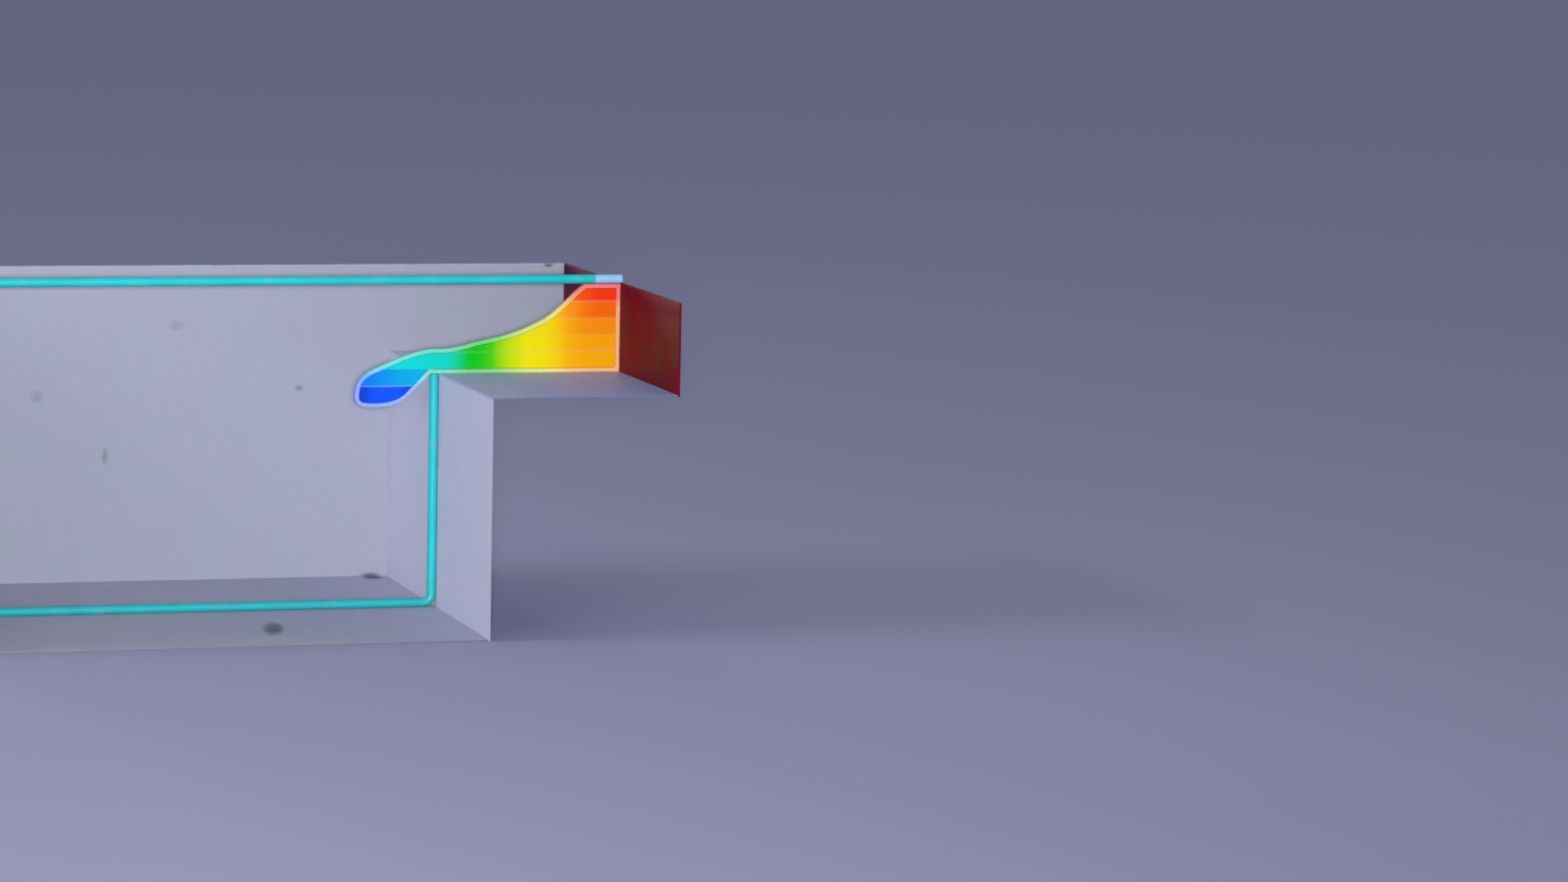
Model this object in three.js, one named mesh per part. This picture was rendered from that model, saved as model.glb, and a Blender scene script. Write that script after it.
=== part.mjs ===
// Canal drop section model: an open-fronted channel that drops over a riser into a deep basin.
// A rod outline runs round the middle section, and a coloured profile of the falling water stands in it.
// Millimetres, +Z up, +X towards the inlet plate, +Y towards the back panel.
// Places are measured from the foot of the riser, in the middle of the width, on the basin's floor.

import * as THREE from 'three';

// Basin and channel
const SHEET = 2;
const BASIN_DEPTH = 320;
const BASIN_LENGTH = 512;
const CHANNEL_DEPTH = 88.5;
const CHANNEL_LENGTH = 183;
const WIDTH = 436;
const SILL_HEIGHT = BASIN_DEPTH - CHANNEL_DEPTH;

// Outline rods: their facets lie flat on the sheets they rest on
const ROD_DIAMETER = 9;
const ROD_SIDES = 24;
const BEND_RADIUS = 8;
const BEND_STEPS = 4;
const BEND_LEAD = 3;
const PALE_ROD_LENGTH = 28;
const FIT_GAP = 0.3;
const NOTCH_STEPS = 12;
const TOP_ROD_LIFT = 3.5;
const TOP_ROD_HEIGHT = BASIN_DEPTH + TOP_ROD_LIFT;

// Water profile: a thin built-up plate in a proud edging
const STRIP_THICKNESS = 5;
const EDGING_THICKNESS = 7;
const EDGING_WIDTH = 4.2;
const ROW_PITCH = 16.6;
const ROW_COUNT = 7;
const LOWEST_ROW = -29;
const CREST_HEIGHT = CHANNEL_DEPTH + TOP_ROD_LIFT - ROD_DIAMETER / 2 - FIT_GAP;
const CREST_LENGTH = 37;
const CURVE_STEPS = 5;

// Water surface from the crest to the nose, and the jet's underside back to the sill: x, height over the sill
const SURFACE_POINTS = [
	[ 136, 78.5 ], [ 125, 68 ], [ 110, 55.8 ], [ 94, 47.3 ], [ 76, 40.2 ], [ 58, 35.3 ], [ 40, 31.8 ],
	[ 24, 27.6 ], [ 8, 24.8 ], [ - 10, 24.2 ], [ - 24, 21.3 ], [ - 38, 16.6 ], [ - 55, 9.7 ],
	[ - 70, 3 ], [ - 79, - 3.8 ], [ - 83.4, - 13 ],
];
const NOSE_POINTS = [ [ - 84, - 25.2 ], [ - 77.8, - 31.6 ], [ - 61, - 32.8 ], [ - 46, - 30.8 ] ];
const UNDERSIDE_POINTS = [ [ - 34, - 25.2 ], [ - 24, - 15.6 ], [ - 17, - 8.4 ], [ - ROD_DIAMETER, 0 ] ];

const PAINT = { color: 0xa4a5bf, roughness: 0.55, metalness: 0 };
const DARK_RED = { color: 0x6a0019, roughness: 0.4, metalness: 0 };
const CYAN = { color: 0x2dd4dc, roughness: 0.3, metalness: 0 };
const PALE_BLUE = { color: 0xa0d2fa, roughness: 0.3, metalness: 0 };
const FROSTED = { color: 0xf0e8e4, roughness: 0.35, metalness: 0 };
const STRIP_COLOURS = [ 0x0050ff, 0x10a0e0, 0x30d060, 0xb0dc20, 0xf0d818, 0xfa9018, 0xf04010 ];

const group = new THREE.Group();

function addMesh( name, geometry, look, x = 0, y = 0, z = 0 ) {

	const mesh = new THREE.Mesh( geometry, new THREE.MeshStandardMaterial( look ) );
	mesh.name = name;
	mesh.position.set( x, y, z );
	group.add( mesh );

}

// A box given by its lowest and highest corners
function addBlock( name, low, high, look ) {

	const size = high.map( ( value, i ) => value - low[ i ] );
	const centre = high.map( ( value, i ) => ( value + low[ i ] ) / 2 );
	addMesh( name, new THREE.BoxGeometry( ...size ), look, ...centre );

}

// An outline of x and z values, made a plate whose front face lies at the given y
function uprightPlate( shape, thickness, front ) {

	const geometry = new THREE.ExtrudeGeometry( shape, { depth: thickness, bevelEnabled: false } );
	geometry.rotateX( Math.PI / 2 );
	return geometry.translate( 0, front + thickness, 0 );

}

// The back panel follows the steps of basin and channel
function addBackPanel() {

	const left = - BASIN_LENGTH - SHEET;
	const right = CHANNEL_LENGTH + SHEET;
	const shape = new THREE.Shape();
	shape.moveTo( left, - SHEET );
	shape.lineTo( SHEET, - SHEET );
	shape.lineTo( SHEET, SILL_HEIGHT - SHEET );
	shape.lineTo( right, SILL_HEIGHT - SHEET );
	shape.lineTo( right, BASIN_DEPTH );
	shape.lineTo( left, BASIN_DEPTH );
	addMesh( 'back_panel', uprightPlate( shape, SHEET, WIDTH / 2 ), PAINT );

}

// An end plate has a shallow round notch in its top edge, in which the top rod lies
function addEndPlate( name, x, bottom, look ) {

	const half = WIDTH / 2;
	const notch = ROD_DIAMETER / 2 + FIT_GAP;
	const rim = Math.asin( TOP_ROD_LIFT / notch );
	const shape = new THREE.Shape();
	shape.moveTo( - half, bottom );
	shape.lineTo( half, bottom );
	shape.lineTo( half, BASIN_DEPTH );
	shape.lineTo( notch * Math.cos( rim ), BASIN_DEPTH );
	shape.absarc( 0, TOP_ROD_HEIGHT, notch, - rim, rim - Math.PI, true );
	shape.lineTo( - half, BASIN_DEPTH );
	const settings = { depth: SHEET, bevelEnabled: false, curveSegments: NOTCH_STEPS };
	const geometry = new THREE.ExtrudeGeometry( shape, settings );
	geometry.rotateX( Math.PI / 2 );
	geometry.rotateZ( Math.PI / 2 );
	addMesh( name, geometry, look, x );

}

function addTray() {

	const half = WIDTH / 2;
	addBlock( 'basin_floor', [ - BASIN_LENGTH, - half, - SHEET ], [ 0, half, 0 ], PAINT );
	addBlock( 'riser', [ 0, - half, - SHEET ], [ SHEET, half, SILL_HEIGHT - SHEET ], PAINT );
	addBlock( 'sill_plate', [ 0, - half, SILL_HEIGHT - SHEET ], [ CHANNEL_LENGTH, half, SILL_HEIGHT ], PAINT );
	addEndPlate( 'left_end_panel', - BASIN_LENGTH - SHEET, - SHEET, PAINT );
	addEndPlate( 'inlet_plate', CHANNEL_LENGTH, SILL_HEIGHT - SHEET, DARK_RED );

}

// A ring of the rod's corners round a point of its line, on the plane that halves the bend there
function rodRing( point, before, after ) {

	const along = before.clone().add( after ).normalize();
	const across = new THREE.Vector2( - along.y, along.x );
	const circumradius = ROD_DIAMETER / 2 / Math.cos( Math.PI / ROD_SIDES );
	const stretch = circumradius / along.dot( before );
	return Array.from( { length: ROD_SIDES }, ( _, k ) => {

		const angle = ( k + 0.5 ) * 2 * Math.PI / ROD_SIDES;
		const corner = point.clone().addScaledVector( across, stretch * Math.cos( angle ) );
		return [ corner.x, - circumradius * Math.sin( angle ), corner.y ];

	} );

}

// A rod along a line of x and z points: it has a flat facet on each side that can rest on a sheet
function addRod( name, points, look ) {

	const line = vectors( points );
	const ways = line.slice( 1 ).map( ( point, i ) => point.clone().sub( line[ i ] ).normalize() );
	const before = [ ways[ 0 ], ...ways ];
	const after = [ ...ways, ways.at( - 1 ) ];
	const rings = line.map( ( point, i ) => rodRing( point, before[ i ], after[ i ] ) );
	const lastRing = ( rings.length - 1 ) * ROD_SIDES;
	const faces = [];
	for ( let k = 0; k < ROD_SIDES; k ++ ) {

		const next = ( k + 1 ) % ROD_SIDES;
		for ( let ring = 0; ring < lastRing; ring += ROD_SIDES ) {

			faces.push( ring + k, ring + next, ring + ROD_SIDES + next );
			faces.push( ring + k, ring + ROD_SIDES + next, ring + ROD_SIDES + k );

		}

		if ( k > 0 && next > 0 ) faces.push( 0, next, k, lastRing, lastRing + k, lastRing + next );

	}

	const geometry = new THREE.BufferGeometry();
	geometry.setAttribute( 'position', new THREE.Float32BufferAttribute( rings.flat( 2 ), 3 ) );
	geometry.setIndex( faces );
	addMesh( name, geometry, look );

}

// The line of the floor rod, whose ends are bent up against the left end panel and the riser
function floorRodLine( left, right, end ) {

	const radius = ROD_DIAMETER / 2;
	const bend = Array.from( { length: BEND_STEPS + 1 }, ( _, step ) => {

		const angle = step / BEND_STEPS * Math.PI / 2;
		return [ BEND_RADIUS * ( 1 - Math.cos( angle ) ), radius + BEND_RADIUS * ( 1 - Math.sin( angle ) ) ];

	} );
	const leftBend = [ [ 0, end ], ...bend ].map( ( [ run, z ] ) => [ left + run, z ] );
	const rightBend = [ [ 0, end ], ...bend ].map( ( [ run, z ] ) => [ right - run, z ] );
	return [ ...leftBend, ...rightBend.reverse() ];

}

// The outline: a rod round the middle section of the basin, with a pale length at the inlet.
// The upright rods stand on the floor rod's bent ends.
function addOutline() {

	const radius = ROD_DIAMETER / 2;
	const inlet = CHANNEL_LENGTH + SHEET;
	const paleStart = inlet - PALE_ROD_LENGTH;
	const left = radius - BASIN_LENGTH;
	const foot = radius + BEND_RADIUS + BEND_LEAD;
	const topLine = [ - BASIN_LENGTH - SHEET, paleStart, inlet ].map( ( x ) => [ x, TOP_ROD_HEIGHT ] );
	addRod( 'outline_top_rod', topLine.slice( 0, 2 ), CYAN );
	addRod( 'outline_top_rod_end', topLine.slice( 1 ), PALE_BLUE );
	addRod( 'outline_floor_rod', floorRodLine( left, - radius, foot ), CYAN );
	addRod( 'outline_riser_rod', [ [ - radius, foot ], [ - radius, SILL_HEIGHT - FIT_GAP ] ], CYAN );
	addRod( 'outline_left_rod', [ [ left, foot ], [ left, TOP_ROD_HEIGHT - radius ] ], CYAN );

}

function vectors( points ) {

	return points.map( ( [ x, y ] ) => new THREE.Vector2( x, y ) );

}

// The edging's four stretches of the profile's outline, anticlockwise from the inlet's foot.
// Surface and underside are one curve, parted at the tip of the nose.
function profileStretches() {

	const inlet = new THREE.Path().moveTo( CHANNEL_LENGTH, 0 ).lineTo( CHANNEL_LENGTH, CREST_HEIGHT );
	const fall = new THREE.Path().moveTo( CHANNEL_LENGTH, CREST_HEIGHT );
	fall.lineTo( CHANNEL_LENGTH - CREST_LENGTH, CREST_HEIGHT );
	fall.splineThru( vectors( [ ...SURFACE_POINTS, ...NOSE_POINTS, ...UNDERSIDE_POINTS ] ) );
	fall.lineTo( 0, 0 );
	const points = fall.getPoints( CURVE_STEPS );
	const tip = points.reduce( ( lowest, point, i ) => point.x < points[ lowest ].x ? i : lowest, 0 );
	return {
		inlet: inlet.getPoints(),
		surface: points.slice( 0, tip + 1 ),
		underside: points.slice( tip ),
		sill: vectors( [ [ 0, 0 ], [ CHANNEL_LENGTH, 0 ] ] ),
	};

}

function insetLoop( points, distance ) {

	const inward = ( from, to ) => new THREE.Vector2( from.y - to.y, to.x - from.x ).normalize();
	return points.map( ( point, i ) => {

		const before = inward( points.at( i - 1 ), point );
		const after = inward( point, points[ ( i + 1 ) % points.length ] );
		const reach = distance / ( 1 + before.dot( after ) );
		return point.clone().addScaledVector( before.add( after ), reach );

	} );

}

// Keeps the part of a loop above a height, or below it with side - 1
function clipLoop( points, height, side ) {

	return points.flatMap( ( point, i ) => {

		const next = points[ ( i + 1 ) % points.length ];
		const inside = side * ( point.y - height ) >= 0;
		const nextInside = side * ( next.y - height ) >= 0;
		const kept = inside ? [ point ] : [];
		if ( inside !== nextInside ) {

			const share = ( height - point.y ) / ( next.y - point.y );
			kept.push( new THREE.Vector2( point.x + share * ( next.x - point.x ), height ) );

		}

		return kept;

	} );

}

function addProfileStrips( outline ) {

	const inner = insetLoop( outline, EDGING_WIDTH + FIT_GAP );
	for ( let row = 0; row < ROW_COUNT; row ++ ) {

		const bottom = LOWEST_ROW + row * ROW_PITCH;
		const loop = clipLoop( clipLoop( inner, bottom, 1 ), bottom + ROW_PITCH, - 1 );
		const geometry = uprightPlate( new THREE.Shape( loop ), STRIP_THICKNESS, - STRIP_THICKNESS / 2 );
		const look = { color: STRIP_COLOURS[ row ], roughness: 0.2, metalness: 0 };
		addMesh( `profile_strip_${ row + 1 }`, geometry, look, 0, 0, SILL_HEIGHT );

	}

}

// The profile stands on the sill and reaches out past the riser, as the falling water does
function addWaterProfile() {

	const stretches = Object.entries( profileStretches() );
	const outline = stretches.flatMap( ( [ , points ] ) => points.slice( 0, - 1 ) );
	const inner = insetLoop( outline, EDGING_WIDTH );
	let start = 0;
	for ( const [ name, points ] of stretches ) {

		const inside = points.map( ( _, i ) => inner[ ( start + i ) % inner.length ] ).reverse();
		const shape = new THREE.Shape( [ ...points, ...inside ] );
		const geometry = uprightPlate( shape, EDGING_THICKNESS, - EDGING_THICKNESS / 2 );
		addMesh( `edging_${ name }`, geometry, FROSTED, 0, 0, SILL_HEIGHT );
		start += points.length - 1;

	}

	addProfileStrips( outline );

}

addBackPanel();
addTray();
addOutline();
addWaterProfile();

// The origin lies under the middle of the whole model, on the surface it stands on
group.position.set( ( BASIN_LENGTH - CHANNEL_LENGTH ) / 2, - SHEET / 2, SHEET );

export default group;
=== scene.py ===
"""The looks of a canal drop section model: painted sheets, enamelled rods and a tinted water profile."""

import math

import bpy
from mathutils import Matrix, Vector


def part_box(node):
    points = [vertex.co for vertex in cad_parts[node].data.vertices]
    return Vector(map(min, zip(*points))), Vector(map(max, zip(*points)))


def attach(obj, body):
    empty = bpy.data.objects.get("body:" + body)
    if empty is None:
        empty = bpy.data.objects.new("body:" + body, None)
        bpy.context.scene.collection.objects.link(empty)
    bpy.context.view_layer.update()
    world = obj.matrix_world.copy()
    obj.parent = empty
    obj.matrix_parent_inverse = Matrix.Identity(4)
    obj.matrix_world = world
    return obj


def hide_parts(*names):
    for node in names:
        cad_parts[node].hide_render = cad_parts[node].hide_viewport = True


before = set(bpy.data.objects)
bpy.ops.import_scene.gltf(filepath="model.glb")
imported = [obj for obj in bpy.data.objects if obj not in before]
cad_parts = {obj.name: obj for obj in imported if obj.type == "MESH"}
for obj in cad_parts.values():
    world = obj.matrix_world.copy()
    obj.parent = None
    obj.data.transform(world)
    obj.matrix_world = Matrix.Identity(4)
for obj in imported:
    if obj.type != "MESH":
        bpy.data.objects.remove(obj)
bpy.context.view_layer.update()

MM = 0.001
RIGHT_ANGLE = math.pi / 2

# Camera, measured from the foot of the riser in the middle of the width
CAMERA_YAW = math.radians(17.046)
CAMERA_PITCH = math.radians(6.682)
CAMERA_ROLL = math.radians(1.176)
CAMERA_PLACE = Vector((-1.2801, -5.3377, 0.8133))
CAMERA_LENS = 128.68
SENSOR_WIDTH = 36.0
FARTHEST_SEEN = 200

# Places that several pieces share
RISER_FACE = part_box("riser")[0].x
BASIN_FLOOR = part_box("basin_floor")[1].z
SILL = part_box("sill_plate")[1].z
BACK_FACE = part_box("back_panel")[0].y
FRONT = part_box("basin_floor")[0].y
MID_WIDTH = (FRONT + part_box("basin_floor")[1].y) / 2
FOOT = Vector((RISER_FACE, MID_WIDTH, BASIN_FLOOR))

# Bevelled edges, with the steps across them
SHEET_EDGE = 0.4 * MM
STRIP_EDGE = 0.2 * MM
FINE_EDGE_STEPS = 2
EDGING_ROUND = 0.6 * MM
EDGING_ROUND_STEPS = 3
ROD_END_BEVEL = 0.6 * MM
ROD_END_STEPS = 3

# Angles that tell flat, sharp and softly shaded edges apart, and how close corners are merged
FLAT = math.radians(1)
SHARP = math.radians(50)
SMOOTH_BELOW = math.radians(32)
MERGE_DISTANCE = 0.01 * MM

# Rods
ROD_RADIUS = (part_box("outline_riser_rod")[1].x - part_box("outline_riser_rod")[0].x) / 2
BEND_RADIUS = 8 * MM
ROD_SIDES = 48
BEND_STEPS = 10


def srgb(red, green, blue):
    """A colour in screen values from 0 to 255, as Blender's linear values, by the standard curve."""
    shares = [value / 255 for value in (red, green, blue)]
    linear = [s / 12.92 if s <= 0.04045 else ((s + 0.055) / 1.055) ** 2.4 for s in shares]
    return (*linear, 1.0)


# Colours
GREENISH_PAINT = (0.345, 0.378, 0.480)
PINKISH_PAINT = (0.372, 0.362, 0.494)
# Dust, and the same pale colour laid on as painted light where a sheet lies in shade
DUST_AND_PAINTED_LIGHT = (0.53, 0.53, 0.6, 1.0)
PRIMER = (0.42, 0.43, 0.5, 1.0)
# Grime for specks and marks, and the same colour laid on as painted shade on front edges and low on the rods
GRIME_AND_PAINTED_SHADE = srgb(58, 56, 66)
CYAN = srgb(26, 180, 185)
CYAN_LAP = srgb(22, 166, 173)
PALE_BLUE = srgb(143, 190, 222)
PALE_BLUE_LAP = srgb(128, 180, 217)
DARK_RED = srgb(90, 0, 26)
BRIGHTER_RED = srgb(113, 0, 26)
PLUM = srgb(46, 8, 52)
# Pale for the frost and haze, and for the painted highlights along the strips' edges
PALE_AND_HIGHLIGHT = srgb(222, 226, 236)
NAVY = srgb(10, 50, 150)

# Noise patterns: scale, which is higher for a finer one, then detail and roughness
HUE_DRIFT = (13.0, 3.0, 0.5)
HUE_PATCHES = (42.0, 2.0, 0.5)
DUST_GRAINS = (90.0, 5.0, 0.7)
GRIME_SPECKS = (420.0, 1.0, 0.5)
RAGGED_RIM = (160.0, 3.0, 0.5)
RUBBED_PATCHES = (70.0, 5.0, 0.65)
HAIRLINES = (60.0, 4.0, 0.6)
ORANGE_PEEL = (700.0, 2.0, 0.5)
RED_CLOUDS = (24.0, 3.0, 0.5)
BRUSH_LAPS = (60.0, 3.0, 0.5)
DULL_PATCHES = (55.0, 4.0, 0.65)
ACRYLIC_HAZE = (60.0, 3.0, 0.5)
ACRYLIC_HANDLING = (35.0, 3.0, 0.5)
ACRYLIC_WAVES = (45.0, 2.0, 0.5)
FROST_GRAINS = (240.0, 4.0, 0.6)
FROST_DIMPLES = (1100.0, 2.0, 0.5)
FROST_HANDLING = (80.0, 3.0, 0.5)

# The values between which each pattern fades in
WHOLE_PATTERN = (0.3, 0.7)
HUE_LIMITS = (0.38, 0.62)
DUST_LIMITS = (0.52, 0.78)
SPECK_LIMITS = (0.74, 0.8)
RUBBED_LIMITS = (0.85, 0.98)
HAIRLINE_LIMITS = (0.6, 0.66)
RED_LIMITS = (0.35, 0.65)
LAP_LIMITS = (0.35, 0.68)
DULL_LIMITS = (0.5, 0.75)
HAZE_LIMITS = (0.4, 0.75)

# How much each pattern changes a colour, from 0 to 1
DRIFT_SHARE = 0.6
DUST_SHARE = 0.06
DUST_ON_RED_SHARE = 0.03
SPECK_SHARE = 0.25
# Painted shade on the sheets' front edges, less on the riser
FRONT_EDGE_SHADE_SHARE = 0.72
RISER_FRONT_EDGE_SHADE_SHARE = 0.55
RUBBED_SHARE = 0.5
PLUM_SHARE = 0.85
LAP_SHARE = 0.5
DULL_SHARE = 0.08
# Painted shade low on the rods
ROD_LOW_SHADE_SHARE = 0.2
NAVY_SHARE = 0.6
HAZE_SHARE = 0.006

# A grime mark's soft rim, from outside in, in shares of the mark's reach, and how ragged it is
MARK_RIM = (1.5, 0.5)
MARK_RAGGEDNESS = 0.6
NOISE_MEAN = 0.5

# Where the other traces lie, and how far a pattern shifts them
RUBBED_DEPTH = 3 * MM
RUBBED_PULL = 0.5
HAIRLINE_STRETCH = (0.12, 1.0, 2.5)
PLUM_WOBBLE = 0.05
PLUM_DEPTHS = (BACK_FACE - 90 * MM, BACK_FACE + 20 * MM)
PLUM_HEIGHTS = (SILL + 50 * MM, SILL + 88 * MM)
# Painted shade on the rods, from this height down to the floor
ROD_LOW_SHADE_HEIGHTS = (BASIN_FLOOR + 40 * MM, BASIN_FLOOR + ROD_RADIUS)

# Gloss of each finish, and its roughness from the smoothest to the dullest places
PANEL_GLOSS = 0.22
PANEL_ROUGHNESS = (0.46, 0.56)
DUST_ROUGHNESS = 0.08
HAIRLINE_POLISH = 0.12
RUBBED_ROUGHNESS = 0.1
RED_GLOSS = 0.04
RED_ROUGHNESS = (0.42, 0.55)
ENAMEL_GLOSS = 0.25
ENAMEL_ROUGHNESS = (0.4, 0.52)
ENAMEL_COAT = 0.1
ENAMEL_COAT_ROUGHNESS = 0.25
DULL_ROUGHNESS = 0.12
ACRYLIC_GLOSS = 0.1
ACRYLIC_ROUGHNESS = (0.28, 0.4)
FROST_GLOSS = 0.35
FROST_ROUGHNESS = (0.4, 0.54)

# Bumps: height and strength
PEEL_BUMP = (0.05 * MM, 0.5)
RIPPLE_BUMP = (1.2 * MM, 0.3)
SAG_BUMP = (0.25 * MM, 0.35)
WAVE_BUMP = (0.1 * MM, 0.3)
FROST_BUMP = (0.04 * MM, 0.6)

# Grime marks: depth, place in millimetres from the foot of the riser, reach in millimetres, turn in degrees
BACK_MARKS = [
    (0.18, (-219.5, 218, 258.5), (7, 1.2, 4.5), 0),
    (0.22, (-360, 218, 188.5), (6, 1.2, 6), 0),
    (0.32, (-291.5, 218, 128), (3, 1.2, 8), 0),
    (0.4, (-93, 218, 194), (4.5, 1.2, 2.5), 0),
    (1.0, (167, 219, 320), (5, 3, 3.5), 0),
    (0.75, (-17, 218, 0), (9, 1.2, 3), 0),
]
FLOOR_MARKS = [
    (0.85, (-17, 206, 0), (9, 11, 1.2), 0),
    (0.75, (-188, -119, 0), (9, 36, 1.2), -11.8),
]

# Painted light, laid on in the dust colour to lift places that lie in shade: the floor towards the left end
# panel, whose shadow falls on it, the sill towards its back corner, and the sill towards the riser. For each:
# the axis along which it thickens, where it starts, where it is full, and its depth
FLOOR_PAINTED_LIGHT = [("X", RISER_FACE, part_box("basin_floor")[0].x, 0.6)]
SILL_PAINTED_LIGHT = [
    ("Y", MID_WIDTH, BACK_FACE - 50 * MM, 0.9),
    ("X", RISER_FACE + 60 * MM, RISER_FACE + 15 * MM, 0.5),
]

# Painted sheets: the red, green and blue of each against the common paint, and its wear. These tints are
# painted light and shade: the riser paler and the back panel darker for the light each gets, the floor paler,
# and the sill bluer against the warm light that the strips and the red plate cast on it
PAINTED_SHEETS = {
    "back_panel": {"painted_light_tint": (0.8, 0.8, 0.78), "marks": BACK_MARKS, "rubbed_top": True},
    "basin_floor": {"painted_light_tint": (1.15, 1.15, 1.12), "marks": FLOOR_MARKS, "painted_light_places": FLOOR_PAINTED_LIGHT},
    "riser": {"painted_light_tint": (1.55, 1.52, 1.45), "front_edge_shade": RISER_FRONT_EDGE_SHADE_SHARE},
    "sill_plate": {"painted_light_tint": (0.87, 1.02, 1.32), "painted_light_places": SILL_PAINTED_LIGHT},
    "left_end_panel": {"painted_light_tint": (1.0, 1.0, 1.0), "rubbed_top": True},
}

# Tints of the water profile, from the coolest to the warmest
RAINBOW = [
    (0.00, srgb(0, 65, 219)),
    (0.10, srgb(0, 132, 206)),
    (0.20, srgb(0, 196, 192)),
    (0.28, srgb(0, 187, 130)),
    (0.38, srgb(0, 179, 16)),
    (0.45, srgb(68, 189, 4)),
    (0.52, srgb(162, 204, 0)),
    (0.60, srgb(221, 208, 0)),
    (0.66, srgb(228, 189, 0)),
    (0.74, srgb(231, 155, 0)),
    (0.86, srgb(230, 90, 4)),
    (1.00, srgb(226, 32, 0)),
]

# Warmth of the tint along the profile, by millimetres from the riser
WARMTH = [
    (-82, 0.06), (-60, 0.15), (-38, 0.20), (8, 0.23), (18, 0.28), (28, 0.37), (44, 0.395),
    (56, 0.465), (68, 0.525), (88, 0.60), (107, 0.61), (118, 0.65), (130, 0.71), (148, 0.735), (183, 0.735),
]
CREST_LENGTHS = (100 * MM, 165 * MM)

# Strips from the lowest: slot, lift towards red at the crest, share of the warmth kept,
# and how much painted highlight shows along the lower and upper edges
STRIPS = [
    ("tinted_acrylic_blue", 0.0, 0.05, 0.0, 0.06),
    ("tinted_acrylic_azure", 0.0, 0.6, 0.12, 0.0),
    ("tinted_acrylic_rainbow", 0.0, 1.0, 0.0, 0.05),
    ("tinted_acrylic_rainbow", 0.015, 1.0, 0.05, 0.02),
    ("tinted_acrylic_warm", 0.06, 1.0, 0.02, 0.035),
    ("tinted_acrylic_warm", 0.12, 1.0, 0.035, 0.07),
    ("tinted_acrylic_red", 0.24, 1.0, 0.07, 0.0),
]
LOWEST_STRIP = "profile_strip_1"
# Width of the painted highlight along each strip's edges
ROW_HIGHLIGHT_WIDTH = 1.7 * MM
NAVY_DISTANCES = (10 * MM, 24 * MM)

# The edging's tint by its height over the sill and its distance from the riser
NOSE_HEIGHTS = (2 * MM, -18 * MM)
SILL_BAND_TOP = (6 * MM, 4 * MM)
SILL_BAND_FOOT = (-1 * MM, 0)
CREST_HEIGHTS = (62 * MM, 80 * MM)
CREST_LIFTS = (0.02, 0.27)
RISER_LENGTHS = (60 * MM, 0)
RISER_WARMTHS = (0, 0.21)
INLET_WARMTHS = (0, 0.06)
NOSE_COOLING = 0.85
EDGING_WARMTH = 0.94
FROST_SHARES = (0.15, 0.23)
SILL_FROST = 0.03
NOSE_FROST = 0.1

# Studio
STUDIO_FLOOR_SIZE = 120
STUDIO_FLOOR_COLOUR = (0.4, 0.405, 0.56, 1.0)
SKY_COLOUR = (0.8, 0.82, 1.0, 1.0)
SKY_STRENGTH = 0.38
MODEL_MIDDLE = (0, 0, 0.16)

# Lights: place, width, height, power, target, and spread in degrees
LIGHTS = {
    "front_light": (FOOT + CAMERA_PLACE, 0.2, 0.2, 20.5, (-0.2, 0, 0.35), 50),
    "left_light": ((-3.9, -0.2, 2.7), 2.0, 0.5, 45, MODEL_MIDDLE, 180),
    "front_left_light": ((-3.0, -4.0, 1.0), 2.0, 2.0, 40, MODEL_MIDDLE, 180),
    "back_light": ((-1.6, 6.5, 1.2), 1.0, 1.0, 3.0, (0, 0, 0.75), 24),
}

# The sockets through which a Mix node takes its two colours and gives the mixed one
FIRST_COLOUR = 6
SECOND_COLOUR = 7
MIXED_COLOUR = 2


class Channel:
    """An output socket with the arithmetic that the finishes use: each operator adds its Math node."""

    def __init__(self, finish, socket):
        self.finish = finish
        self.socket = socket

    def math(self, operation, first, second):
        return self.finish.node("ShaderNodeMath", {"operation": operation}, {0: first, 1: second})

    def __add__(self, other):
        return self.math("ADD", self, other)

    def __sub__(self, other):
        return self.math("SUBTRACT", self, other)

    def __rsub__(self, other):
        return self.math("SUBTRACT", other, self)

    def __mul__(self, other):
        return self.math("MULTIPLY", self, other)

    def __truediv__(self, other):
        return self.math("DIVIDE", self, other)


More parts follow.
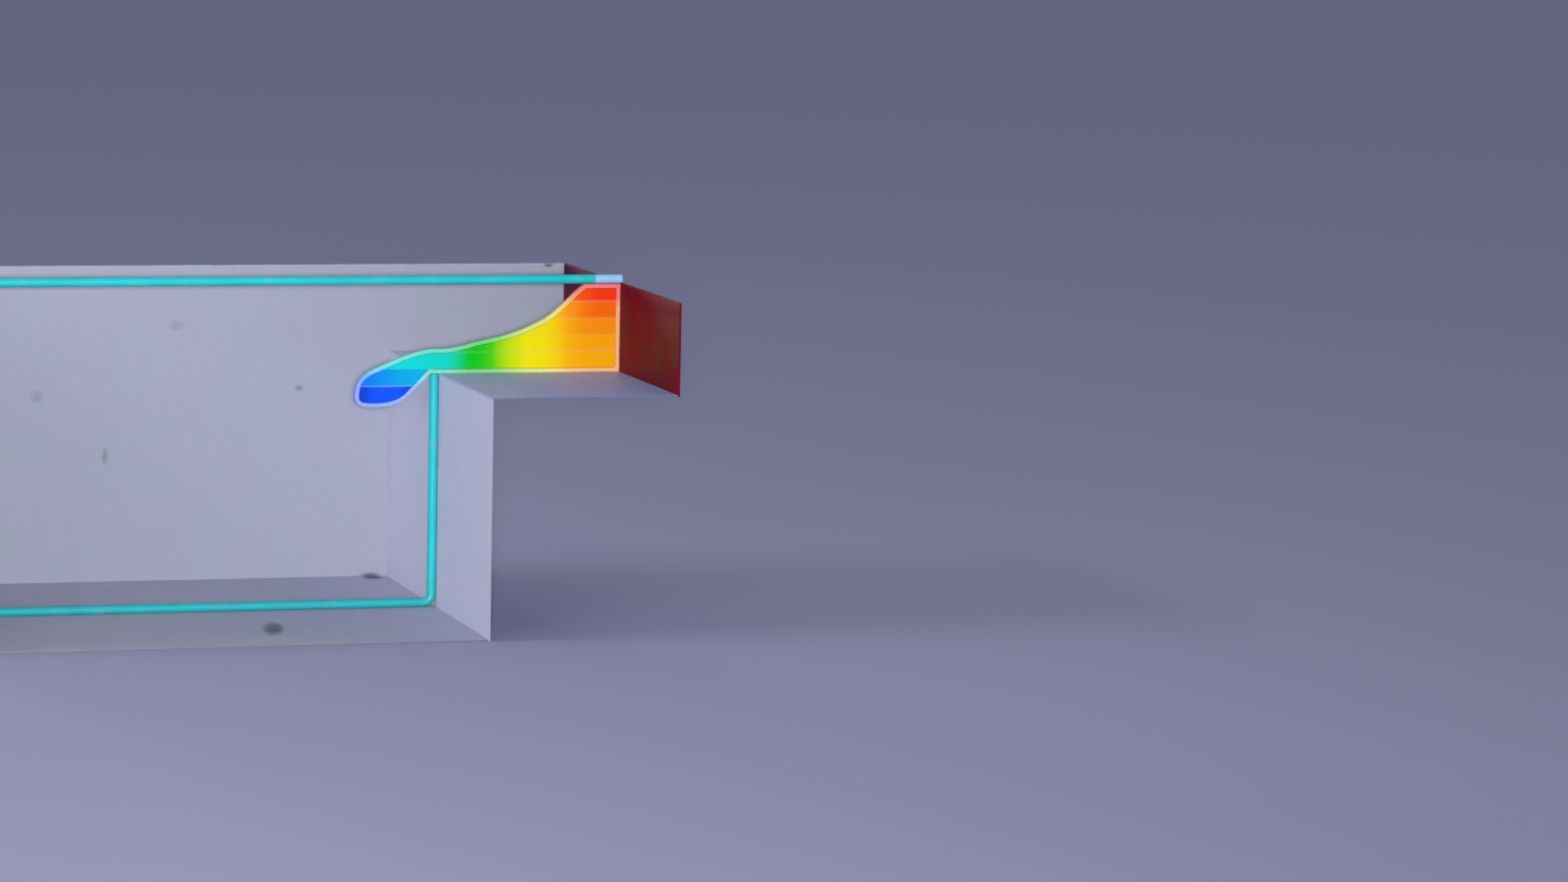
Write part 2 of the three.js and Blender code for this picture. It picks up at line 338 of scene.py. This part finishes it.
class Finish:
    """One material: node() adds its nodes, and shine() plugs them into the shader."""

    def __init__(self, name, constants):
        self.material = bpy.data.materials.new(name)
        self.material.use_nodes = True
        self.tree = self.material.node_tree
        self.shader = self.tree.nodes["Principled BSDF"]
        self.set_inputs(self.shader, constants)
        self.place = self.node("ShaderNodeTexCoord", output="Object")

    def set_inputs(self, node, values):
        """Links a channel to its input, and writes anything else there as a constant."""
        for name, value in values.items():
            if isinstance(value, Channel):
                self.tree.links.new(value.socket, node.inputs[name])
            else:
                node.inputs[name].default_value = value

    def node(self, kind, settings=None, inputs=None, output=0):
        """Adds a node of any kind and gives back one of its outputs."""
        made = self.tree.nodes.new(kind)
        for name, value in (settings or {}).items():
            if name == "stops":
                self.set_stops(made.color_ramp, value)
            else:
                setattr(made, name, value)
        self.set_inputs(made, inputs or {})
        return Channel(self, made.outputs[output])

    def set_stops(self, ramp, stops):
        """Sets a ramp's stops, and adds those that a new ramp doesn't have."""
        for number, (position, colour) in enumerate(stops):
            stop = ramp.elements[number] if number < len(ramp.elements) else ramp.elements.new(position)
            stop.position = position
            stop.color = colour

    def along(self, axis):
        """One coordinate in metres: X, Y or Z."""
        return self.node("ShaderNodeSeparateXYZ", inputs={0: self.place}, output=axis)

    def stretched(self, scale):
        """The coordinates, drawn out along the axes, so that a pattern gets a grain."""
        return self.node("ShaderNodeMapping", inputs={"Vector": self.place, "Scale": scale})

    def noise(self, pattern, place=None):
        """A noise pattern over the piece, or over other coordinates that are given."""
        scale, detail, roughness = pattern
        inputs = {"Vector": place or self.place, "Scale": scale, "Detail": detail, "Roughness": roughness}
        return self.node("ShaderNodeTexNoise", inputs=inputs)

    def smooth(self, value, low, high, to_low=0.0, to_high=1.0):
        """Runs softly from to_low to to_high while the value runs from low to high."""
        limits = {"Value": value, "From Min": low, "From Max": high, "To Min": to_low, "To Max": to_high}
        return self.node("ShaderNodeMapRange", {"interpolation_type": "SMOOTHSTEP"}, limits)

    def mix(self, share, first, second):
        """The first colour where the share is 0, the second where it is 1."""
        inputs = {"Factor": share, FIRST_COLOUR: first, SECOND_COLOUR: second}
        return self.node("ShaderNodeMix", {"data_type": "RGBA"}, inputs, MIXED_COLOUR)

    def bump(self, pattern, height, strength, normal=None):
        """The pattern as relief, on top of another bump where one is given."""
        inputs = {"Height": pattern, "Distance": height, "Strength": strength}
        if normal:
            inputs["Normal"] = normal
        return self.node("ShaderNodeBump", inputs=inputs)

    def shine(self, **inputs):
        """Plugs the shader's inputs, named with _ for each blank, and gives back the material."""
        self.set_inputs(self.shader, {name.replace("_", " "): value for name, value in inputs.items()})
        return self.material


def mark(finish, place, reach, turn):
    """A smudge with a soft, uneven edge round a place: 1 in its middle, 0 outside."""
    wobble = finish.noise(RAGGED_RIM) - NOISE_MEAN
    spot = {"Vector": finish.place, "Location": FOOT + Vector(place) * MM}
    spot["Rotation"] = (0, 0, math.radians(turn))
    spot["Scale"] = Vector(reach) * MM
    offset = finish.node("ShaderNodeMapping", {"vector_type": "TEXTURE"}, spot)
    distance = finish.node("ShaderNodeVectorMath", {"operation": "LENGTH"}, {0: offset}, output="Value")
    return finish.smooth(distance + wobble * MARK_RAGGEDNESS, *MARK_RIM)


def rubbed_rim(finish, top):
    """Patches along a sheet's top edge where hands have rubbed the paint thin."""
    near_edge = finish.smooth(finish.along("Z"), top - RUBBED_DEPTH, top)
    return finish.smooth(near_edge * RUBBED_PULL + finish.noise(RUBBED_PATCHES), *RUBBED_LIMITS)


def loose_dust(finish):
    """Grains of dust that lie scattered over the paint."""
    return finish.smooth(finish.noise(DUST_GRAINS), *DUST_LIMITS)


def orange_peel(finish):
    """The fine dimples of sprayed paint."""
    return finish.bump(finish.noise(ORANGE_PEEL), *PEEL_BUMP)


def with_painted_light(colour, painted_light_tint):
    """A paint's colour with its red, green and blue each made weaker or stronger, so that each sheet carries
    painted light and shade.
    """
    return (*(part * share for part, share in zip(colour, painted_light_tint)), 1.0)


def soiled_and_shaded(finish, colour, painted_light_places, marks, front_edge_shade):
    """A sheet's colour under painted light in the dust colour, specks and marks of grime, and painted shade
    darkening its front cut edge.
    """
    # Painted light: paler where the sheet lies in shade
    for axis, start, full, depth in painted_light_places:
        colour = finish.mix(finish.smooth(finish.along(axis), start, full) * depth, colour, DUST_AND_PAINTED_LIGHT)
    specks = finish.smooth(finish.noise(GRIME_SPECKS), *SPECK_LIMITS)
    colour = finish.mix(specks * SPECK_SHARE, colour, GRIME_AND_PAINTED_SHADE)
    # Painted shade on the front edge, which faces the light
    front_edge_shade_mask = finish.smooth(finish.along("Y"), FRONT + SHEET_EDGE, FRONT)
    colour = finish.mix(front_edge_shade_mask * front_edge_shade, colour, GRIME_AND_PAINTED_SHADE)
    for depth, *spot in marks:
        colour = finish.mix(mark(finish, *spot) * depth, colour, GRIME_AND_PAINTED_SHADE)
    return colour


def panel_paint(node, painted_light_tint, marks=(), painted_light_places=(), front_edge_shade=FRONT_EDGE_SHADE_SHARE, rubbed_top=False):
    """Lavender-grey satin paint with a faint drift of hue, orange peel and the wear it has picked up, with
    painted light and shade in its tint, its pale patches and its dark front edge.
    """
    finish = Finish(f"{node}_paint", {"Specular IOR Level": PANEL_GLOSS})
    drift = finish.noise(HUE_DRIFT)
    patches = finish.noise(HUE_PATCHES)
    hue = finish.smooth(drift * DRIFT_SHARE + patches * (1 - DRIFT_SHARE), *HUE_LIMITS)
    # Painted light and shade: each sheet's paint is made paler, darker or bluer for the light it gets
    colour = finish.mix(hue, with_painted_light(GREENISH_PAINT, painted_light_tint), with_painted_light(PINKISH_PAINT, painted_light_tint))
    dust = loose_dust(finish)
    colour = finish.mix(dust * DUST_SHARE, colour, DUST_AND_PAINTED_LIGHT)
    colour = soiled_and_shaded(finish, colour, painted_light_places, marks, front_edge_shade)
    hairlines = finish.smooth(finish.noise(HAIRLINES, finish.stretched(HAIRLINE_STRETCH)), *HAIRLINE_LIMITS)
    rough = finish.smooth(patches, *WHOLE_PATTERN, *PANEL_ROUGHNESS)
    rough = rough + dust * DUST_ROUGHNESS - hairlines * HAIRLINE_POLISH
    if rubbed_top:
        rubbed = rubbed_rim(finish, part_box(node)[1].z)
        colour = finish.mix(rubbed * RUBBED_SHARE, colour, PRIMER)
        rough = rough + rubbed * RUBBED_ROUGHNESS
    ripple = finish.bump(drift, *RIPPLE_BUMP, orange_peel(finish))
    return finish.shine(Base_Color=colour, Roughness=rough, Normal=ripple)


def dark_red_paint():
    """Dark red satin paint that turns plum towards the upper back corner."""
    finish = Finish("dark_red_paint", {"Specular IOR Level": RED_GLOSS})
    cloud = finish.noise(RED_CLOUDS)
    back = finish.smooth(finish.along("Y") + cloud * PLUM_WOBBLE, *PLUM_DEPTHS)
    high = finish.smooth(finish.along("Z"), *PLUM_HEIGHTS)
    colour = finish.mix(finish.smooth(cloud, *RED_LIMITS), DARK_RED, BRIGHTER_RED)
    colour = finish.mix(back * high * PLUM_SHARE, colour, PLUM)
    colour = finish.mix(loose_dust(finish) * DUST_ON_RED_SHARE, colour, DUST_AND_PAINTED_LIGHT)
    rough = finish.smooth(cloud, *WHOLE_PATTERN, *RED_ROUGHNESS)
    return finish.shine(Base_Color=colour, Roughness=rough, Normal=orange_peel(finish))


def rod_enamel(name, colour, lap):
    """Enamel with lap marks, a few dull, dusty patches and painted shade low down, near the floor."""
    finish = Finish(name, {"Specular IOR Level": ENAMEL_GLOSS, "Coat Roughness": ENAMEL_COAT_ROUGHNESS})
    laps = finish.noise(BRUSH_LAPS)
    dull = finish.smooth(finish.noise(DULL_PATCHES), *DULL_LIMITS)
    tint = finish.mix(finish.smooth(laps, *LAP_LIMITS) * LAP_SHARE, colour, lap)
    tint = finish.mix(dull * DULL_SHARE, tint, DUST_AND_PAINTED_LIGHT)
    # Painted shade: darker low down, near the floor
    low = finish.smooth(finish.along("Z"), *ROD_LOW_SHADE_HEIGHTS)
    tint = finish.mix(low * ROD_LOW_SHADE_SHARE, tint, GRIME_AND_PAINTED_SHADE)
    rough = finish.smooth(laps, *WHOLE_PATTERN, *ENAMEL_ROUGHNESS) + dull * DULL_ROUGHNESS
    coat = ENAMEL_COAT - dull * ENAMEL_COAT
    sag = finish.bump(laps, *SAG_BUMP)
    return finish.shine(Base_Color=tint, Roughness=rough, Coat_Weight=coat, Normal=sag)


def rainbow(finish, lift, keep):
    """The tint at a place: warmer along the length, lifted towards red at the crest, cooled by a low keep."""
    first, last = WARMTH[0][0], WARMTH[-1][0]
    stops = [((length - first) / (last - first), (warmth, warmth, warmth, 1)) for length, warmth in WARMTH]
    length = finish.along("X") - RISER_FACE
    share = (length - first * MM) / ((last - first) * MM)
    warmth = finish.node("ShaderNodeValToRGB", {"stops": stops}, {"Fac": share})
    crest = finish.smooth(length, *CREST_LENGTHS)
    return finish.node("ShaderNodeValToRGB", {"stops": RAINBOW}, {"Fac": warmth * keep + crest * lift})


def navy_ends(finish, colour, middle):
    """A strip's colour, turned towards navy at both of its ends."""
    far = finish.node("ShaderNodeMath", {"operation": "ABSOLUTE"}, {0: finish.along("X") - middle})
    return finish.mix(finish.smooth(far, *NAVY_DISTANCES) * NAVY_SHARE, colour, NAVY)


def strip_tint(node, lift, keep, highlight_below, highlight_above):
    """Tinted acrylic whose cut edges, where the rows meet, carry a painted highlight as pale lines."""
    finish = Finish(f"{node}_tint", {"Specular IOR Level": ACRYLIC_GLOSS})
    low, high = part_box(node)
    tint = rainbow(finish, lift, keep)
    height = finish.along("Z")
    # Painted highlight along the lower and upper edges
    lower_highlight = finish.smooth(height, low.z + ROW_HIGHLIGHT_WIDTH, low.z + STRIP_EDGE)
    upper_highlight = finish.smooth(height, high.z - ROW_HIGHLIGHT_WIDTH, high.z - STRIP_EDGE)
    colour = finish.mix(lower_highlight * highlight_below + upper_highlight * highlight_above, tint, PALE_AND_HIGHLIGHT)
    if node == LOWEST_STRIP:
        colour = navy_ends(finish, colour, (low.x + high.x) / 2)
    haze = finish.smooth(finish.noise(ACRYLIC_HAZE), *HAZE_LIMITS)
    colour = finish.mix(haze * HAZE_SHARE, colour, PALE_AND_HIGHLIGHT)
    rough = finish.smooth(finish.noise(ACRYLIC_HANDLING), *WHOLE_PATTERN, *ACRYLIC_ROUGHNESS)
    wave = finish.bump(finish.noise(ACRYLIC_WAVES), *WAVE_BUMP)
    return finish.shine(Base_Color=colour, Roughness=rough, Normal=wave)


def edging_tint(finish, height, nose):
    """The strips' tints behind the edging: warmer by the riser and the inlet, cooler at the nose."""
    lift = finish.smooth(height, *CREST_HEIGHTS, *CREST_LIFTS)
    length = finish.along("X") - RISER_FACE
    near_riser = finish.smooth(length, *RISER_LENGTHS, *RISER_WARMTHS)
    near_inlet = finish.smooth(length, *CREST_LENGTHS, *INLET_WARMTHS)
    return rainbow(finish, lift, near_riser + near_inlet - nose * NOSE_COOLING + EDGING_WARMTH)


def edging_frost():
    """Pale frosted plastic through which the strips' tints glow, palest at the nose and along the sill."""
    finish = Finish("edging_frost", {"Specular IOR Level": FROST_GLOSS})
    height = finish.along("Z") - SILL
    nose = finish.smooth(height, *NOSE_HEIGHTS)
    on_sill = finish.smooth(height, *SILL_BAND_TOP) * finish.smooth(height, *SILL_BAND_FOOT)
    frost = finish.smooth(finish.noise(FROST_GRAINS), *WHOLE_PATTERN, *FROST_SHARES)
    frost = frost + on_sill * SILL_FROST + nose * NOSE_FROST
    colour = finish.mix(frost, edging_tint(finish, height, nose), PALE_AND_HIGHLIGHT)
    bump = finish.bump(finish.noise(FROST_DIMPLES), *FROST_BUMP)
    rough = finish.smooth(finish.noise(FROST_HANDLING), *WHOLE_PATTERN, *FROST_ROUGHNESS)
    return finish.shine(Base_Color=colour, Roughness=rough, Normal=bump)


def select_only(*pieces):
    bpy.ops.object.select_all(action="DESELECT")
    for piece in pieces:
        piece.select_set(True)
    bpy.context.view_layer.objects.active = pieces[0]


def settle(piece, name, material, slot, *nodes):
    """Names a finished piece, gives it its material and puts it in the frame for its CAD nodes."""
    select_only(piece)
    bpy.ops.object.transform_apply(location=True, rotation=True, scale=True)
    bpy.ops.object.shade_smooth_by_angle(angle=SMOOTH_BELOW)
    piece.modifiers.new("flat_faces", "WEIGHTED_NORMAL").keep_sharp = True
    bpy.ops.object.modifier_apply(modifier="flat_faces")
    piece.name = name
    piece.data.name = name
    piece.data.materials.clear()
    piece.data.materials.append(material)
    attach(piece, "root")
    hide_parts(*nodes)


def loose_copy(node):
    """A copy of a CAD node's object with its own mesh."""
    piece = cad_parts[node].copy()
    piece.data = piece.data.copy()
    piece.parent = None
    bpy.context.collection.objects.link(piece)
    return piece


def merge_corners(piece):
    """Makes a copy's loose triangles one closed mesh, with no walls inside."""
    select_only(piece)
    bpy.ops.object.mode_set(mode="EDIT")
    bpy.ops.mesh.select_all(action="SELECT")
    bpy.ops.mesh.remove_doubles(threshold=MERGE_DISTANCE)
    bpy.ops.mesh.select_all(action="DESELECT")
    bpy.ops.mesh.select_interior_faces()
    bpy.ops.mesh.delete(type="FACE")
    bpy.ops.object.mode_set(mode="OBJECT")


def merge_flat_faces(piece):
    """Makes the triangles that lie in one plane one face."""
    select_only(piece)
    bpy.ops.object.mode_set(mode="EDIT")
    bpy.ops.mesh.select_all(action="SELECT")
    bpy.ops.mesh.dissolve_limited(angle_limit=FLAT)
    bpy.ops.object.mode_set(mode="OBJECT")


def whole_copy(node):
    """A copy of a CAD node as one closed mesh with whole faces."""
    piece = loose_copy(node)
    merge_corners(piece)
    merge_flat_faces(piece)
    return piece


def bevel_sharp_edges(width, steps):
    """Bevels every sharp edge of the mesh that is being edited."""
    bpy.ops.mesh.select_all(action="DESELECT")
    bpy.ops.mesh.edges_select_sharp(sharpness=SHARP)
    bpy.ops.mesh.bevel(offset=width, segments=steps, affect="EDGES")


def round_sharp_edges(piece, width, steps):
    select_only(piece)
    bpy.ops.object.mode_set(mode="EDIT")
    bevel_sharp_edges(width, steps)
    bpy.ops.object.mode_set(mode="OBJECT")


def rounded_copy(node, width):
    """A copy of a sheet or strip with its edges just broken."""
    piece = whole_copy(node)
    round_sharp_edges(piece, width, FINE_EDGE_STEPS)
    return piece


def make_sheet(node, material, slot):
    piece = rounded_copy(node, SHEET_EDGE)
    settle(piece, f"{node}_sheet", material, slot, node)


def make_sheets():
    for node, looks in PAINTED_SHEETS.items():
        make_sheet(node, panel_paint(node, **looks), "panel_paint")
    make_sheet("inlet_plate", dark_red_paint(), "dark_red_paint")


def make_straight_rod(node, material, slot):
    """A round rod along the length, with bevelled ends."""
    low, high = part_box(node)
    bpy.ops.object.select_all(action="DESELECT")
    bpy.ops.mesh.primitive_cylinder_add(
        vertices=ROD_SIDES, radius=ROD_RADIUS, depth=high.x - low.x,
        location=(low + high) / 2, rotation=(0, RIGHT_ANGLE, 0))
    bpy.ops.object.mode_set(mode="EDIT")
    bevel_sharp_edges(ROD_END_BEVEL, ROD_END_STEPS)
    bpy.ops.object.mode_set(mode="OBJECT")
    settle(bpy.context.active_object, f"{node}_round", material, slot, node)


def extrude_ring(x=0.0, z=0.0):
    bpy.ops.mesh.extrude_edges_move(TRANSFORM_OT_translate={"value": (x, 0, z)})


def bend_ring(centre):
    """Turns the selected ring a quarter round a bend's centre."""
    bpy.ops.mesh.spin(steps=BEND_STEPS, angle=RIGHT_ANGLE, center=centre, axis=(0, 1, 0))


def draw_bent_rod(left, right, top, end):
    """Draws out a ring down the left end, along the floor and up the riser, and leaves it in edit mode."""
    bend_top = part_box("outline_floor_rod")[0].z + ROD_RADIUS + BEND_RADIUS
    bpy.ops.object.select_all(action="DESELECT")
    bpy.ops.mesh.primitive_circle_add(vertices=ROD_SIDES, radius=ROD_RADIUS, location=(left, MID_WIDTH, top))
    bpy.ops.object.transform_apply(location=True)
    bpy.ops.object.mode_set(mode="EDIT")
    bpy.ops.mesh.select_mode(type="EDGE")
    bpy.ops.mesh.select_all(action="SELECT")
    extrude_ring(z=bend_top - top)
    bend_ring((left + BEND_RADIUS, MID_WIDTH, bend_top))
    extrude_ring(x=right - left - 2 * BEND_RADIUS)
    bend_ring((right - BEND_RADIUS, MID_WIDTH, bend_top))
    extrude_ring(z=end - bend_top)


def close_rod():
    """Closes both ends of the rod that is being edited, and turns its faces outwards."""
    bpy.ops.mesh.select_all(action="SELECT")
    bpy.ops.mesh.remove_doubles(threshold=MERGE_DISTANCE)
    bpy.ops.mesh.fill_holes(sides=0)
    bpy.ops.mesh.select_all(action="SELECT")
    bpy.ops.mesh.normals_make_consistent(inside=False)


def make_bent_rod(material):
    """The left, floor and riser rods as one rod with tight bends."""
    left_low, left_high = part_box("outline_left_rod")
    riser_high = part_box("outline_riser_rod")[1]
    draw_bent_rod(left_low.x + ROD_RADIUS, riser_high.x - ROD_RADIUS, left_high.z, riser_high.z)
    close_rod()
    bevel_sharp_edges(ROD_END_BEVEL, ROD_END_STEPS)
    bpy.ops.object.mode_set(mode="OBJECT")
    nodes = ("outline_floor_rod", "outline_left_rod", "outline_riser_rod")
    settle(bpy.context.active_object, "outline_bent_rod", material, "cyan_enamel", *nodes)


def make_rods():
    cyan = rod_enamel("cyan_enamel", CYAN, CYAN_LAP)
    pale_blue = rod_enamel("pale_blue_enamel", PALE_BLUE, PALE_BLUE_LAP)
    make_straight_rod("outline_top_rod", cyan, "cyan_enamel")
    make_straight_rod("outline_top_rod_end", pale_blue, "pale_blue_enamel")
    make_bent_rod(cyan)


def make_strips():
    for number, (slot, *tint) in enumerate(STRIPS, start=1):
        node = f"profile_strip_{number}"
        piece = rounded_copy(node, STRIP_EDGE)
        settle(piece, f"{node}_acrylic", strip_tint(node, *tint), slot, node)


def make_edging():
    """The four stretches of the edging, joined to one band with rounded edges."""
    nodes = ("edging_inlet", "edging_surface", "edging_underside", "edging_sill")
    stretches = [whole_copy(node) for node in nodes]
    select_only(*stretches)
    bpy.ops.object.join()
    band = stretches[0]
    merge_corners(band)
    round_sharp_edges(band, EDGING_ROUND, EDGING_ROUND_STEPS)
    settle(band, "edging_band", edging_frost(), "frosted_edging", *nodes)


def make_stage():
    """A plain matt studio floor."""
    bpy.ops.object.select_all(action="DESELECT")
    bpy.ops.mesh.primitive_plane_add(size=STUDIO_FLOOR_SIZE)
    floor = bpy.context.active_object
    floor.name = "studio_floor"
    finish = Finish("studio_floor", {"Specular IOR Level": 0.0, "Roughness": 1.0})
    floor.data.materials.append(finish.shine(Base_Color=STUDIO_FLOOR_COLOUR))


def add_light(name, place, width, height, power, target, spread):
    """A soft rectangular light that faces the target, with a grid that narrows its spread in degrees."""
    light = bpy.data.lights.new(name, "AREA")
    light.shape = "RECTANGLE"
    light.size = width
    light.size_y = height
    light.energy = power
    light.spread = math.radians(spread)
    lamp = bpy.data.objects.new(name, light)
    lamp.location = place
    lamp.rotation_euler = (Vector(target) - Vector(place)).to_track_quat("-Z", "Y").to_euler()
    lamp.visible_camera = False
    bpy.context.collection.objects.link(lamp)


def make_sky():
    """A weak, faintly blue light from all sides."""
    world = bpy.data.worlds.new("soft_sky")
    world.use_nodes = True
    background = world.node_tree.nodes["Background"]
    background.inputs["Color"].default_value = SKY_COLOUR
    background.inputs["Strength"].default_value = SKY_STRENGTH
    bpy.context.scene.world = world


def make_lights():
    for name, settings in LIGHTS.items():
        add_light(name, *settings)
    make_sky()


def turned(angle, axis):
    """A turn about an axis, as a matrix of 4 by 4."""
    return Matrix.Rotation(angle, 4, axis)


def make_camera():
    camera = bpy.data.cameras.new("photo_view")
    camera.lens = CAMERA_LENS
    camera.sensor_width = SENSOR_WIDTH
    camera.clip_end = FARTHEST_SEEN
    eye = bpy.data.objects.new("photo_view", camera)
    turn = turned(-CAMERA_YAW, "Z") @ turned(-CAMERA_PITCH, "X") @ turned(-CAMERA_ROLL, "Y")
    upright = turned(RIGHT_ANGLE, "X")
    eye.matrix_world = Matrix.Translation(FOOT + CAMERA_PLACE) @ turn @ upright
    bpy.context.collection.objects.link(eye)
    bpy.context.scene.camera = eye


make_camera()
make_sheets()
make_rods()
make_strips()
make_edging()
make_stage()
make_lights()
bpy.context.scene.view_settings.view_transform = "Standard"
